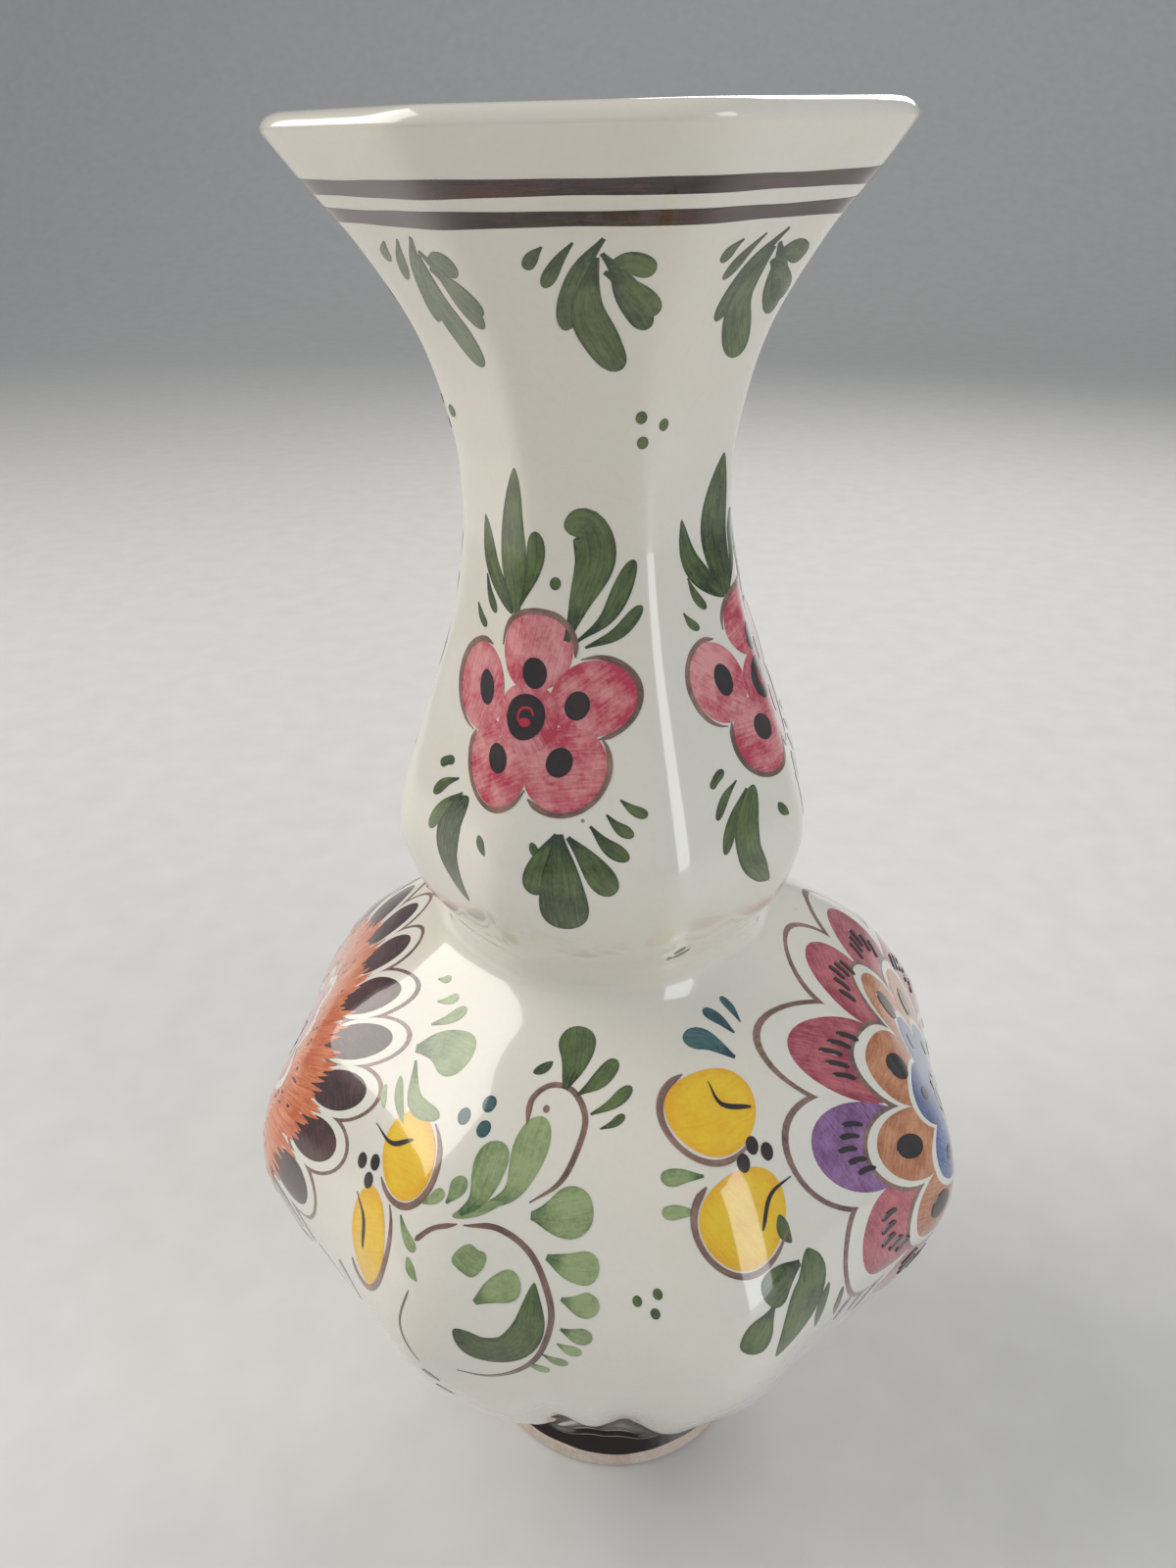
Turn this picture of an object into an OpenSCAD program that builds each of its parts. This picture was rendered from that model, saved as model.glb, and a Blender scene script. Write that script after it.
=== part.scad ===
// Hand-painted pottery vase: a double gourd of eight soft panels with a flared mouth.
// It is built as it is made, from moulded and thrown sections luted end to end while the
// clay is leather-hard, with a coil of soft clay smoothed over the inside of each joint.

/* [Outline] */
// Overall height, from the table to the top of the lip
height = 300; // [285:1:315]
// Radius at the middle of a panel, at the widest part of the lower gourd
belly_r = 74.5; // [70:0.5:78]
// Radius of the collar between the two gourds
waist_r = 33.3; // [31:0.1:36]
// Radius at the middle of a panel, at the widest part of the upper gourd
bulb_r = 39.5; // [37:0.5:42]
// Radius at the middle of a panel, at the narrowest part of the neck
neck_r = 23.5; // [22:0.5:26]
// Radius at the middle of a panel, at the lip
mouth_r = 49; // [45:0.5:52]

/* [Panels and lobes] */
// How crisp the ridges between the panels are
crispness = 26; // [16:1:36]
// How far each small lobe of the lower bowl stands out
lobe_depth = 1.2; // [0.6:0.1:1.6]

/* [Clay] */
// Thickness of the wall
wall = 5.5; // [4.5:0.25:6]
// Thickness of the floor
floor_t = 6; // [5:0.5:7]
// How far a luting coil stands in from the wall
coil_t = 2.4; // [1.5:0.1:3]

/* [Foot] */
// Height of the foot ring
foot_h = 8; // [7:0.5:8.5]
// Outer radius of the foot ring
foot_r = 34; // [32:0.5:36]
// Width of the foot ring
foot_w = 6; // [5:0.5:7]

/* [Hidden] */

panels = 8;              // flat sides of the vase
lobes = 24;              // small lobes round the lower bowl, three to a panel
around = 96;             // steps round the vase, four to a lobe
face_turn = -90;         // a panel faces the front, which is -Y
disc_r = 26;             // radius of the floor disc
disc_gap = 0.1;          // room for slip round the floor disc
coil_half = 4;           // half the height of a luting coil
coil_steps = 4;          // steps across a coil
lip_steps = 4;           // steps over the rounded lip
lip_h = 2.6;             // height of the lip's rounding
top = height - 300;      // what a taller or shorter neck adds

// Heights of the joints between sections
belly_z = 96;
waist_z = 148;
collar_z = 160;
neck_z = 206 + top / 2;
lip_z = height - 6;

// The outline at the middle of a panel, as [height, radius]
outline = [
    [foot_h, foot_r - 3], [12, foot_r - 2.4], [16, foot_r + 0.2], [20, foot_r + 2.4], [30, belly_r - 33],
    [45, belly_r - 23.6],
    [60, belly_r - 14.4], [80, belly_r - 4.9], [98, belly_r], [110, belly_r - 1.5], [119, belly_r - 6],
    [131, belly_r - 14.5], [140, waist_r + 15.7], [146, waist_r + 6], [152, waist_r], [158, waist_r + 0.7],
    [165, bulb_r - 1.9], [176, bulb_r], [184, bulb_r - 0.8], [200, neck_r + 9.8],
    [218 + top / 2, neck_r + 3.5], [234 + top, neck_r + 0.3], [243 + top, neck_r], [252 + top, neck_r + 0.6],
    [268 + top, mouth_r - 20.6], [282 + top, mouth_r - 12.7], [292 + top, mouth_r - 5],
    [298 + top, mouth_r - 0.8], [height, mouth_r]
];

// How much of the panelled shape shows at each height; 0 is round
panel_share = [[0, 0.9], [20, 1.3], [110, 1.3], [130, 1.1], [150, 0.4], [160, 0.4], [176, 1.1], [400, 1.1]];
// How much of the lobes shows at each height
lobe_share = [[0, 0], [12, 0.15], [20, 0.25], [42, 1], [60, 0.8], [80, 0.3], [94, 0], [400, 0]];

// Where the sections are sampled up the wall
bowl_z = [foot_h, 12, 17, 23, 32, 42, 52, 64, 78, belly_z - coil_half, belly_z];
bowl_inner_z = [belly_z, belly_z - coil_half, 78, 62, 46, 34, 24, 14];
shoulder_z = [belly_z, belly_z + coil_half, 110, 119, 127, 134, 139, waist_z - coil_half, waist_z];
collar_zs = [waist_z, waist_z + coil_half, collar_z - coil_half, collar_z];
bulb_z = [collar_z, collar_z + coil_half, 170, 177, 184, neck_z - coil_half - 8, neck_z - coil_half, neck_z];
neck_zs = [neck_z, neck_z + coil_half, 220 + top / 2, 234 + top, 246 + top, 258 + top, 270 + top,
           282 + top, lip_z];

// Slope of table t at its point i
function lookup_slope(t, i) =
    let (a = max(i - 1, 0), b = min(i + 1, len(t) - 1)) (t[b][1] - t[a][1]) / (t[b][0] - t[a][0]);

// Index of the stretch of table t that holds height z
function stretch(t, z) = max([for (i = [0 : len(t) - 2]) if (i == 0 || t[i][0] <= z) i]);

// Radius of the smooth outline at height z: a cubic through the outline's points
function outline_r(z) =
    let (i = stretch(outline, z), a = outline[i], b = outline[i + 1], h = b[0] - a[0], u = (z - a[0]) / h,
         m = lookup_slope(outline, i) * h, n = lookup_slope(outline, i + 1) * h)
    a[1] * (2 * pow(u, 3) - 3 * u * u + 1) + m * (pow(u, 3) - 2 * u * u + u)
    + b[1] * (3 * u * u - 2 * pow(u, 3)) + n * (pow(u, 3) - u * u);

// How fast that radius grows with height
function outline_slope(z) = (outline_r(z + 0.2) - outline_r(z - 0.2)) / 0.4;

// A soft regular polygon: 1 at the middle of a panel and a little more at a ridge
function panelled(a) =
    pow(vsum([for (k = [0 : panels - 1]) pow(max(0, cos(a - face_turn - k * 360 / panels)), crispness)]),
        -1 / crispness);
// Sum of a list
function vsum(v, i = 0) = i < len(v) ? v[i] + vsum(v, i + 1) : 0;

// A section point is [radius, height, share of the panels, depth of the lobes]
function outer_point(z) = [outline_r(z), z, lookup(z, panel_share), lobe_depth * lookup(z, lobe_share)];
// The inner face is set in from the outer one at a right angle
function inner_point(z, depth = wall) =
    let (s = outline_slope(z), n = sqrt(1 + s * s))
    [outline_r(z) - depth / n, z + depth * s / n, lookup(z, panel_share), 0];

// Where a section point lies at angle a round the vase
function ring_point(p, a) =
    let (r = p[0] * (1 + (panelled(a) - 1) * p[2]) + p[3] * cos(lobes * (a - face_turn)))
    [r * cos(a), r * sin(a), p[1]];

// One closed section, carried round the vase. A coil's section is listed clockwise, so that it
// is cut into the same triangles as the wall it lies on.
module swept(section, clockwise = false) {
    n = len(section);
    points = [for (i = [0 : around - 1], p = section) ring_point(p, i * 360 / around)];
    faces = [for (i = [0 : around - 1], j = [0 : n - 1])
        let (i2 = (i + 1) % around, j2 = (j + 1) % n,
             a = i * n + j, b = i * n + j2, c = i2 * n + j2, d = i2 * n + j)
        each clockwise ? [[a, c, b], [a, d, c]] : [[a, b, c], [a, c, d]]];
    polyhedron(points, faces, convexity = 6);
}

// A list back to front
function reversed(v) = [for (i = [len(v) - 1 : -1 : 0]) v[i]];

// A length of wall between two mitred joints
module wall_section(stations) {
    swept(concat([for (z = stations) outer_point(z)], [for (z = reversed(stations)) inner_point(z)]));
}

// A half-round coil of clay over the inside of the joint at height z
module luting_coil(z) {
    swept(concat(
        [for (dz = [coil_half, 0, -coil_half]) inner_point(z + dz)],
        [for (k = [1 : coil_steps - 1])
            let (t = 180 * k / coil_steps)
            inner_point(z - coil_half * cos(t), wall + coil_t * sin(t))]), clockwise = true);
}

// The floor disc sits on a narrow ledge inside the top of the ring
module foot_ring() {
    chamfer = 0.8;
    ledge = 1.5;
    color("tan")
    rotate_extrude($fn = 128)
    polygon([
        [disc_r - ledge, foot_h], [foot_r - foot_w, chamfer], [foot_r - foot_w + chamfer, 0],
        [foot_r - chamfer, 0], [foot_r, chamfer], [foot_r, foot_h - 3], [foot_r - 3, foot_h]]);
}

module floor_disc() {
    color("ivory") translate([0, 0, foot_h]) cylinder(r = disc_r, h = floor_t, $fn = 128);
}

module floor_coil() {
    color("ivory")
    translate([0, 0, foot_h + floor_t])
    rotate_extrude($fn = 128)
    intersection() {
        translate([disc_r, 0]) circle(r = coil_t, $fn = 48);
        translate([disc_r - coil_t, 0]) square([2 * coil_t, coil_t]);
    }
}

module lower_bowl() {
    hole_r = disc_r + disc_gap;
    color("ivory")
    swept(concat(
        [[hole_r, foot_h, 0, 0]],
        [for (z = bowl_z) outer_point(z)],
        [for (z = bowl_inner_z) inner_point(z)],
        [[hole_r + 1, foot_h + floor_t, 0, 0], [hole_r, foot_h + floor_t, 0, 0]]));
}

module shoulder() {
    color("ivory") wall_section(shoulder_z);
}

module waist_collar() {
    color("ivory") wall_section(collar_zs);
}

module upper_bulb() {
    color("ivory") wall_section(bulb_z);
}

module neck() {
    color("ivory") wall_section(neck_zs);
}

// The lip: the wall's last few millimetres, rounded over
module lip_ring() {
    out = outer_point(lip_z);
    edge = outer_point(height - lip_h);
    in = inner_point(lip_z);
    half_w = (edge[0] - in[0]) / 2;
    color("ivory")
    swept(concat(
        [out, edge],
        [for (k = [1 : lip_steps - 1])
            let (t = 180 * k / lip_steps)
            [edge[0] - half_w * (1 - cos(t)), edge[1] + lip_h * sin(t), edge[2], 0]],
        [in]));
}

module belly_coil() {
    color("linen") luting_coil(belly_z);
}

module waist_coil() {
    color("linen") luting_coil(waist_z);
}

module bulb_coil() {
    color("linen") luting_coil(collar_z);
}

module neck_coil() {
    color("linen") luting_coil(neck_z);
}

foot_ring();
floor_disc();
floor_coil();
lower_bowl();
belly_coil();
shoulder();
waist_coil();
waist_collar();
bulb_coil();
upper_bulb();
neck_coil();
neck();
lip_ring();
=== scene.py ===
import math
import random

import bpy
import numpy as np
from mathutils import Matrix, Vector


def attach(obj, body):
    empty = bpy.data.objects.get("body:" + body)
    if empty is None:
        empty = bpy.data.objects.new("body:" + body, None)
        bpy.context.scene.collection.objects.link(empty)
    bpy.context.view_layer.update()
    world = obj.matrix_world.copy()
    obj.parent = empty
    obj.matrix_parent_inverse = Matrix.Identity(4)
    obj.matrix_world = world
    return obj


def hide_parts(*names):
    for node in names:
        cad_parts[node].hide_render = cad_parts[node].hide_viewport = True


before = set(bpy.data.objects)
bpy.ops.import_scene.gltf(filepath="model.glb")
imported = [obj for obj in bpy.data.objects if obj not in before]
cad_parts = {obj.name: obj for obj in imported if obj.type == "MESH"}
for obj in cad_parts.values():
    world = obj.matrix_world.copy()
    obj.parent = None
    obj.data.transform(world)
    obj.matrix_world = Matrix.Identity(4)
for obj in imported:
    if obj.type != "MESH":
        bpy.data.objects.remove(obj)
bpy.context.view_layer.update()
random.seed(11)

# ---------------------------------------------------------------- the vase's surface
# Lengths are millimetres until a mesh is made; angles run from the front, -Y, towards +X.
MM = 0.001
HEIGHT = 300
BELLY_R = 74.5
WAIST_R = 33.3
BULB_R = 39.5
NECK_R = 23.5
MOUTH_R = 49
FOOT_H = 8
FOOT_R = 34
WALL = 5.5
FLOOR_T = 6
HOLE_R = 26.1
PANELS = 8
LOBES = 24
CRISPNESS = 26
LOBE_DEPTH = 1.2
LOBE_FADE = 3
FOOT_PAINT_Z = 5.1

# Radius at the middle of a panel, as (height, radius)
OUTLINE = [
    (FOOT_H, FOOT_R - 3),
    (12, FOOT_R - 2.4),
    (16, FOOT_R + 0.2),
    (20, FOOT_R + 2.4),
    (30, BELLY_R - 33),
    (45, BELLY_R - 23.6),
    (60, BELLY_R - 14.4),
    (80, BELLY_R - 4.9),
    (98, BELLY_R),
    (110, BELLY_R - 1.5),
    (119, BELLY_R - 6),
    (131, BELLY_R - 14.5),
    (140, WAIST_R + 15.7),
    (146, WAIST_R + 6),
    (152, WAIST_R),
    (158, WAIST_R + 0.7),
    (165, BULB_R - 1.9),
    (176, BULB_R),
    (184, BULB_R - 0.8),
    (200, NECK_R + 9.8),
    (218, NECK_R + 3.5),
    (234, NECK_R + 0.3),
    (243, NECK_R),
    (252, NECK_R + 0.6),
    (268, MOUTH_R - 20.6),
    (282, MOUTH_R - 12.7),
    (292, MOUTH_R - 5),
    (298, MOUTH_R - 0.8),
    (HEIGHT, MOUTH_R),
]
# How much of the panels and of the lobes shows at each height
PANEL_SHARE = [
    (0, 0.9),
    (20, 1.3),
    (110, 1.3),
    (130, 1.1),
    (150, 0.4),
    (160, 0.4),
    (176, 1.1),
    (400, 1.1),
]
LOBE_SHARE = [(0, 0), (12, 0.15), (20, 0.25), (42, 1), (60, 0.8), (80, 0.3), (94, 0), (400, 0)]


def table(pairs, z):
    """The value at height z in a table of (height, value) pairs."""
    return np.interp(z, [p[0] for p in pairs], [p[1] for p in pairs])


def outline_r(z):
    """Radius at the middle of a panel: a cubic through the outline's points, as in the CAD."""
    zs = np.array([p[0] for p in OUTLINE], float)
    rs = np.array([p[1] for p in OUTLINE], float)
    low = np.maximum(np.arange(len(zs)) - 1, 0)
    high = np.minimum(np.arange(len(zs)) + 1, len(zs) - 1)
    slope = (rs[high] - rs[low]) / (zs[high] - zs[low])
    z = np.asarray(z, float)
    i = np.clip(np.searchsorted(zs, z, side="right") - 1, 0, len(zs) - 2)
    h = zs[i + 1] - zs[i]
    u = (z - zs[i]) / h
    return (
        rs[i] * (2 * u**3 - 3 * u**2 + 1)
        + slope[i] * h * (u**3 - 2 * u**2 + u)
        + rs[i + 1] * (3 * u**2 - 2 * u**3)
        + slope[i + 1] * h * (u**3 - u**2)
    )


def panelled(a):
    """A soft octagon: 1 at the middle of a panel and a little more at a ridge."""
    total = 0
    for k in range(PANELS):
        total = total + np.maximum(0, np.cos(a - k * 2 * math.pi / PANELS)) ** CRISPNESS
    return total ** (-1 / CRISPNESS)


def place(r, a, z, panel, lobe):
    """A point at angle a and height z, with its share of the panels and depth of lobes."""
    r = r * (1 + (panelled(a) - 1) * panel) + lobe * np.cos(LOBES * a)
    return np.stack([r * np.sin(a), -r * np.cos(a), z + 0 * a], axis=-1)


def surface(a, z, depth=0.0):
    """A point of the wall, depth inside the outer face. The inner face has no lobes."""
    a = np.asarray(a, float)
    z = np.asarray(z, float)
    slope = (outline_r(z + 0.2) - outline_r(z - 0.2)) / 0.4
    n = np.sqrt(1 + slope**2)
    fade = 1 - np.clip(np.asarray(depth, float) / LOBE_FADE, 0, 1)
    return place(
        outline_r(z) - depth / n,
        a,
        z + depth * slope / n,
        table(PANEL_SHARE, z),
        LOBE_DEPTH * table(LOBE_SHARE, z) * fade,
    )


def normal(a, z, depth=0.0):
    """Outward normal of the wall at a point."""
    da = surface(a + 0.002, z, depth) - surface(a - 0.002, z, depth)
    dz = surface(a, z + 0.1, depth) - surface(a, z - 0.1, depth)
    n = np.cross(da, dz)
    return n / np.linalg.norm(n, axis=-1, keepdims=True)


# Length along the outline from the foot, for laying strokes out flat
STEPS_Z = np.arange(FOOT_H, HEIGHT + 0.01, 0.25)
STEPS_S = np.concatenate([[0], np.cumsum(np.hypot(np.diff(STEPS_Z), np.diff(outline_r(STEPS_Z))))])
# Roughly how much longer the way round is than a circle at the middle of a panel
GIRTH = 1.02


def unroll(a, z, a0, z0):
    """Flat position, in mm, of a surface point seen from a motif's centre."""
    s = np.interp(z, STEPS_Z, STEPS_S) - np.interp(z0, STEPS_Z, STEPS_S)
    return np.stack([(a - a0) * outline_r(z) * GIRTH, s], axis=-1)


def roll(uv, a0, z0):
    """The surface point, as angle and height, of a flat position."""
    s = uv[..., 1] + np.interp(z0, STEPS_Z, STEPS_S)
    z = np.interp(s, STEPS_S, STEPS_Z)
    return a0 + uv[..., 0] / (outline_r(z) * GIRTH), z


# ---------------------------------------------------------------- materials
def new_material(name):
    """An empty node material, and its tree."""
    m = bpy.data.materials.new(name)
    m.use_nodes = True
    m.node_tree.nodes.clear()
    return m, m.node_tree


def add(tree, kind, **values):
    """A node, with its properties and its input sockets set by name."""
    n = tree.nodes.new("ShaderNode" + kind)
    for key, value in values.items():
        if hasattr(n, key):
            setattr(n, key, value)
        else:
            socket = n.inputs[key.replace("_", " ")]
            if isinstance(value, bpy.types.NodeSocket):
                tree.links.new(value, socket)
            else:
                socket.default_value = value
    return n


def math_node(tree, operation, a, b=0.0):
    """The result of a sum on two sockets or numbers."""
    n = tree.nodes.new("ShaderNodeMath")
    n.operation = operation
    for socket, value in zip(n.inputs, (a, b)):
        if isinstance(value, bpy.types.NodeSocket):
            tree.links.new(value, socket)
        else:
            socket.default_value = value
    return n.outputs[0]


def ramp(tree, fac, stops):
    """Colour ramp through (position, colour or value) stops."""
    n = tree.nodes.new("ShaderNodeValToRGB")
    tree.links.new(fac, n.inputs[0])
    while len(n.color_ramp.elements) < len(stops):
        n.color_ramp.elements.new(0.5)
    for element, (position, value) in zip(n.color_ramp.elements, stops):
        element.position = position
        rgb = value if isinstance(value, tuple) else (value, value, value)
        element.color = (*rgb, 1)
    return n.outputs[0]


def mix(tree, fac, a, b):
    """Colour a turning into colour b as fac goes from 0 to 1."""
    n = tree.nodes.new("ShaderNodeMix")
    n.data_type = "RGBA"
    for socket, value in zip((n.inputs[0], n.inputs[6], n.inputs[7]), (fac, a, b)):
        if isinstance(value, bpy.types.NodeSocket):
            tree.links.new(value, socket)
        else:
            socket.default_value = (*value, 1) if isinstance(value, tuple) else value
    return n.outputs[2]


def noise(tree, vector, scale, detail=3.0, rough=0.5):
    return add(tree, "TexNoise", Vector=vector, Scale=scale, Detail=detail, Roughness=rough).outputs[0]


def glaze_finish(tree, colour, where):
    """Fired glaze over a colour: a clear glassy coat that lies slightly unevenly."""
    swell = noise(tree, where, 38.0, 2.0)
    orange_peel = noise(tree, where, 260.0, 2.0)
    height = math_node(tree, "ADD", swell, math_node(tree, "MULTIPLY", orange_peel, 0.06))
    bump = add(tree, "Bump", Strength=0.16, Distance=0.0012, Height=height)
    smear = noise(tree, where, 14.0, 3.0)
    rough = ramp(tree, smear, [(0.3, 0.10), (0.7, 0.22)])
    shader = add(
        tree,
        "BsdfPrincipled",
        Base_Color=colour,
        Roughness=rough,
        IOR=1.5,
        Coat_Weight=1.0,
        Coat_Roughness=0.035,
        Coat_IOR=1.52,
        Normal=bump.outputs[0],
        Coat_Normal=bump.outputs[0],
        Subsurface_Weight=0.06,
        Subsurface_Scale=0.003,
    )
    out = add(tree, "OutputMaterial")
    tree.links.new(shader.outputs[0], out.inputs[0])


CREAM = (0.84, 0.80, 0.70)
CREAM_WARM = (0.80, 0.73, 0.61)


def cream_glaze():
    """Warm white tin glaze with pinholes, iron specks and faint crazing."""
    m, t = new_material("tin glaze")
    where = add(t, "TexCoord").outputs["Object"]
    cloud = noise(t, where, 22.0, 4.0)
    colour = mix(t, ramp(t, cloud, [(0.38, 0.0), (0.72, 0.6)]), CREAM, CREAM_WARM)
    fine = noise(t, where, 900.0, 2.0)
    colour = mix(t, ramp(t, fine, [(0.3, 0.10), (0.6, 0.0)]), colour, (0.70, 0.64, 0.54))
    cells = add(t, "TexVoronoi", Vector=where, Scale=95.0, Randomness=1.0)
    speck = math_node(t, "LESS_THAN", cells.outputs["Distance"], 0.035)
    pick = add(t, "SeparateColor", Color=cells.outputs["Color"])
    speck = math_node(t, "MULTIPLY", speck, math_node(t, "GREATER_THAN", pick.outputs[0], 0.80))
    colour = mix(t, math_node(t, "MULTIPLY", speck, 0.75), colour, (0.12, 0.07, 0.04))
    cracks = add(t, "TexVoronoi", feature="DISTANCE_TO_EDGE", Vector=where, Scale=75.0)
    crazing = ramp(t, cracks.outputs[0], [(0.0, 0.05), (0.012, 0.0)])
    where_crazed = ramp(t, noise(t, where, 9.0), [(0.48, 0.0), (0.62, 1.0)])
    crazing = math_node(t, "MULTIPLY", crazing, where_crazed)
    colour = mix(t, crazing, colour, (0.42, 0.36, 0.30))
    glaze_finish(t, colour, where)
    return m


def painted(name, light, dark, streaks=0.5, pooling=0.6, patch=0.5):
    """Brushed oxide colour under the glaze: streaky along the stroke and darker at its edge.

    streaks, pooling and patch say how much the bristles, the edge and the uneven wash show.
    """
    m, t = new_material(name)
    where = add(t, "TexCoord").outputs["Object"]
    brush = add(t, "Attribute", attribute_name="brush").outputs["Vector"]
    edge = add(t, "Attribute", attribute_name="edge").outputs["Fac"]
    parts = add(t, "SeparateXYZ", Vector=brush)
    stretched = add(t, "Mapping", Vector=brush, Scale=(0.09, 1.1, 1.0))
    streak = noise(t, stretched.outputs[0], 2.2, 4.0, 0.6)
    wash = noise(t, where, 170.0, 4.0, 0.65)
    grain = noise(t, where, 1500.0, 2.0)
    rim = ramp(t, edge, [(0.72, 0.0), (0.97, 1.0)])
    shade = math_node(t, "MULTIPLY", ramp(t, streak, [(0.35, 0.0), (0.68, 1.0)]), streaks)
    for layer, weight in (
        (rim, pooling * 0.5),
        (ramp(t, wash, [(0.4, 0.0), (0.66, 1.0)]), patch),
        (parts.outputs[2], 0.55),
        (math_node(t, "SUBTRACT", grain, 0.5), 0.5),
    ):
        shade = math_node(t, "ADD", shade, math_node(t, "MULTIPLY", layer, weight))
    colour = mix(t, ramp(t, shade, [(0.1, 0.0), (1.0, 1.0)]), light, dark)
    glaze_finish(t, colour, where)
    return m


GLAZE = cream_glaze()
LEAF = painted("leaf green", (0.135, 0.185, 0.055), (0.022, 0.042, 0.014), 0.55)
LEAF_LIGHT = painted("pale leaf green", (0.36, 0.44, 0.20), (0.055, 0.125, 0.035), 0.3, 0.35, 0.35)
TEAL = painted("blue-green", (0.07, 0.17, 0.17), (0.012, 0.05, 0.065))
DARK = painted("manganese black", (0.035, 0.016, 0.014), (0.008, 0.004, 0.005), patch=0.7)
BAND = painted("manganese band", (0.085, 0.026, 0.018), (0.010, 0.004, 0.004), 1.0, 0.3, 0.3)
LINE = painted("brown outline", (0.34, 0.20, 0.15), (0.13, 0.07, 0.055), 0.5, 0.2, 0.6)
PINK = painted("pink wash", (0.80, 0.34, 0.33), (0.52, 0.035, 0.075), 0.45, 0.25, 0.75)
CRIMSON = painted("crimson wash", (0.62, 0.17, 0.19), (0.30, 0.025, 0.06), 0.5, 0.3, 0.6)
PURPLE = painted("purple wash", (0.38, 0.19, 0.40), (0.15, 0.05, 0.17), 0.5, 0.3, 0.6)
PEACH = painted("peach wash", (0.72, 0.35, 0.17), (0.42, 0.13, 0.055), 0.5, 0.3, 0.6)
ORANGE = painted("orange-red sunburst", (0.86, 0.33, 0.13), (0.62, 0.12, 0.04), 0.9, 0.2, 0.5)
BLUE = painted("blue wash", (0.17, 0.27, 0.52), (0.035, 0.06, 0.22), 0.7, 0.3, 0.6)
YELLOW = painted("yellow", (0.95, 0.62, 0.02), (0.86, 0.36, 0.008), 0.3, 0.75, 0.35)
WHITE = painted("white reserve", (0.85, 0.81, 0.71), (0.80, 0.74, 0.63), 0.2, 0.1, 0.3)
PLUM = painted("plum brown", (0.115, 0.04, 0.035), (0.028, 0.009, 0.012), 0.8, 0.3, 0.5)
RED = painted("red", (0.60, 0.03, 0.05), (0.42, 0.01, 0.03))


def bare_clay():
    """The foot ring: pale biscuit clay with a thin iron stain, painted dark round its top."""
    m, t = new_material("biscuit clay")
    where = add(t, "TexCoord").outputs["Object"]
    grain = noise(t, where, 700.0, 5.0, 0.7)
    stain = noise(t, where, 60.0, 3.0)
    colour = ramp(t, grain, [(0.3, (0.58, 0.45, 0.36)), (0.7, (0.78, 0.68, 0.58))])
    colour = mix(t, ramp(t, stain, [(0.5, 0.0), (0.75, 0.45)]), colour, (0.50, 0.30, 0.20))
    height = add(t, "SeparateXYZ", Vector=where).outputs[2]
    wander = math_node(t, "MULTIPLY", math_node(t, "SUBTRACT", stain, 0.5), 0.0008)
    banded = math_node(t, "GREATER_THAN", math_node(t, "ADD", height, wander), FOOT_PAINT_Z * MM)
    colour = mix(t, banded, colour, (0.022, 0.010, 0.009))
    bump = add(t, "Bump", Strength=0.35, Distance=0.0003, Height=grain)
    rough = math_node(t, "SUBTRACT", 0.6, math_node(t, "MULTIPLY", banded, 0.42))
    shader = add(t, "BsdfPrincipled", Base_Color=colour, Roughness=rough, Normal=bump.outputs[0])
    out = add(t, "OutputMaterial")
    t.links.new(shader.outputs[0], out.inputs[0])
    return m


CLAY = bare_clay()


# ---------------------------------------------------------------- clay sections
def make_object(name, points, faces, normals, material):
    """A smooth mesh from points in mm and a normal at each point."""
    mesh = bpy.data.meshes.new(name)
    mesh.from_pydata((points * MM).tolist(), [], faces)
    mesh.shade_smooth()
    mesh.normals_split_custom_set_from_vertices(normals.tolist())
    mesh.materials.append(material)
    obj = bpy.data.objects.new(name, mesh)
    bpy.context.scene.collection.objects.link(obj)
    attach(obj, "root")
    return obj


def swept_object(name, rings, normals, nodes):
    """A closed skin from rings of points, each ring going once round the vase."""
    count = len(rings)
    around = rings[0].shape[0]
    faces = []
    for j in range(count):
        k = (j + 1) % count
        for i in range(around):
            n = (i + 1) % around
            faces.append((j * around + i, j * around + n, k * around + n, k * around + i))
    obj = make_object(name, np.concatenate(rings), faces, np.concatenate(normals), GLAZE)
    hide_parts(*nodes)


AROUND = 480
TURN = np.linspace(0, 2 * math.pi, AROUND, endpoint=False)


def wall_section(name, low, high, step=1.2, hole_r=None):
    """A length of wall from height low to high, with its joint faces.

    The lowest one also turns in under the vase, to a hole of radius hole_r for the floor disc.
    """
    count = max(4, round((high - low) / step))
    up = np.linspace(low, high, count)
    rings = [surface(TURN, z) for z in up]
    normals = [normal(TURN, z) for z in up]
    start = low if hole_r is None else FOOT_H + FLOOR_T + 1.6
    down = np.linspace(high, start, max(4, round((high - start) / (2 * step))))
    rings += [surface(TURN, z, WALL) for z in down]
    normals += [-normal(TURN, z, WALL) for z in down]
    if hole_r is not None:
        floor_z = FOOT_H + FLOOR_T
        for r, z, nz in ((hole_r + 1, floor_z, 1), (hole_r, floor_z, 1), (hole_r, FOOT_H, -1)):
            rings.append(place(r, TURN, z, 0, 0))
            normals.append(np.tile([0.0, 0.0, nz], (AROUND, 1)))
    swept_object(name, rings, normals, [name])


# Heights of the joints between sections, and how much of the lip is rounded
BELLY_Z = 96
WAIST_Z = 148
COLLAR_Z = 160
NECK_Z = 206
LIP_Z = HEIGHT - 6
LIP_ROUND = 2.6

wall_section("lower_bowl", FOOT_H, BELLY_Z, hole_r=HOLE_R)
wall_section("shoulder", BELLY_Z, WAIST_Z)
wall_section("waist_collar", WAIST_Z, COLLAR_Z, 0.8)
wall_section("upper_bulb", COLLAR_Z, NECK_Z)
wall_section("neck", NECK_Z, LIP_Z)


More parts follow.
